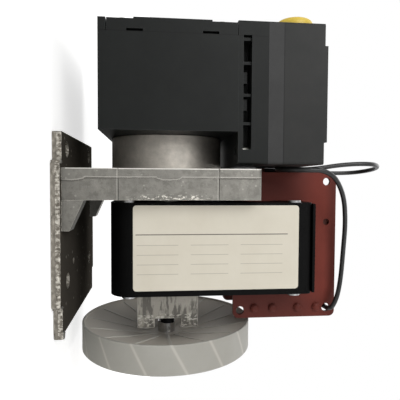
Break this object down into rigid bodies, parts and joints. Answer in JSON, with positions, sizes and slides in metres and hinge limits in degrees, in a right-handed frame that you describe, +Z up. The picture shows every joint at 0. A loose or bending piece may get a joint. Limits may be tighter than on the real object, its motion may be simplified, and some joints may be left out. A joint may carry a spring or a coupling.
{
  "type": "diaphragm vacuum pump",
  "caption": "Compact gas diaphragm pump: crankcase and valve head driven by a shaded-pole C-frame motor with cooling fan, on a cast foot.",
  "frame": {"origin": "centre of the four foot holes, on the underside of the foot", "axes": "+Z up from the mounting face, +X along the motor shaft towards the fan, +Y to the back, so the label faces -Y"},
  "size_m": [0.1684, 0.099, 0.1723],
  "materials": {
    "cast_aluminium": "as cast, rough",
    "turned_aluminium": "turned",
    "black_plastic": "fine moulded grain",
    "grey_plastic": "fine moulded grain",
    "yellow_plastic": "moulded",
    "black_rubber": "matt",
    "stack_steel": "black varnished laminations",
    "rotor_steel": "ground",
    "machined_steel": "machined",
    "zinc_screw": "zinc plated",
    "copper": "bare copper",
    "bronze": "sintered",
    "red_plastic": "moulded",
    "coil_tape": "taped",
    "label_film": "satin film",
    "fan_plastic": "translucent moulding",
    "chrome_spring": "bright",
    "lead_insulation": "satin",
    "reed_steel": "rolled"
  },
  "bodies": {
    "pump_body": {"foot_bracket": "cast_aluminium", "spigot": "turned_aluminium", "pump_side_bearing": "machined_steel", "fan_side_bush": "bronze", "crankcase_housing": "black_plastic", "crankcase_cover": "black_plastic", "intermediate_plate": "grey_plastic", "head_seal": "black_rubber", "head_cover": "grey_plastic", "diaphragm": "black_rubber", "stator_core": "stack_steel", "shading_rings": "copper", "stack_rivets": "machined_steel", "coil_bobbin": "red_plastic", "coil_winding": "coil_tape", "rating_label": "label_film", "fan_side_bracket": "cast_aluminium", "head_screws": "zinc_screw", "cover_screws": "zinc_screw", "frame_screws": "zinc_screw", "stator_screws": "zinc_screw", "motor_lead": "lead_insulation"},
    "rotating_group": {"motor_shaft": "machined_steel", "rotor": "rotor_steel", "eccentric": "machined_steel", "fan_wheel": "fan_plastic", "fan_clamp": "chrome_spring"},
    "rod_group": {"connecting_rod": "turned_aluminium", "rod_bearing": "machined_steel", "clamp_disc": "turned_aluminium", "clamp_screw": "zinc_screw"},
    "inlet_cap_body": {"inlet_cap": "yellow_plastic"},
    "outlet_cap_body": {"outlet_cap": "yellow_plastic"},
    "inlet_reed_body": {"inlet_reed": "reed_steel"},
    "outlet_reed_body": {"outlet_reed": "reed_steel"}
  },
  "joints": [
    {"name": "shaft_spin", "type": "hinge", "parent": "pump_body", "child": "rotating_group", "pos_m": [0, 0, 0.0514], "axis": [1, 0, 0], "continuous": true, "deforming": ["diaphragm"]},
    {"name": "rod_pivot", "type": "hinge", "parent": "rotating_group", "child": "rod_group", "pos_m": [-0.0571, 0, 0.0489], "axis": [1, 0, 0], "continuous": true},
    {"name": "inlet_cap_pull", "type": "slide", "parent": "pump_body", "child": "inlet_cap_body", "axis": [-1, 0, 0], "range_m": [0, 0.012]},
    {"name": "outlet_cap_pull", "type": "slide", "parent": "pump_body", "child": "outlet_cap_body", "axis": [-1, 0, 0], "range_m": [0, 0.012]},
    {"name": "inlet_reed_flex", "type": "hinge", "parent": "pump_body", "child": "inlet_reed_body", "pos_m": [-0.0641, -0.01, 0.10125], "axis": [0, 1, 0], "range_deg": [0, 3], "stiffness_Nm_per_rad": 0.003, "springref_deg": -3.44},
    {"name": "outlet_reed_flex", "type": "hinge", "parent": "pump_body", "child": "outlet_reed_body", "pos_m": [-0.0641, 0.01, 0.10315], "axis": [0, -1, 0], "range_deg": [0, 3], "stiffness_Nm_per_rad": 0.003}
  ],
  "couplings": [
    {"joint": "rod_pivot", "follows": "shaft_spin", "ratio": -1}
  ]
}
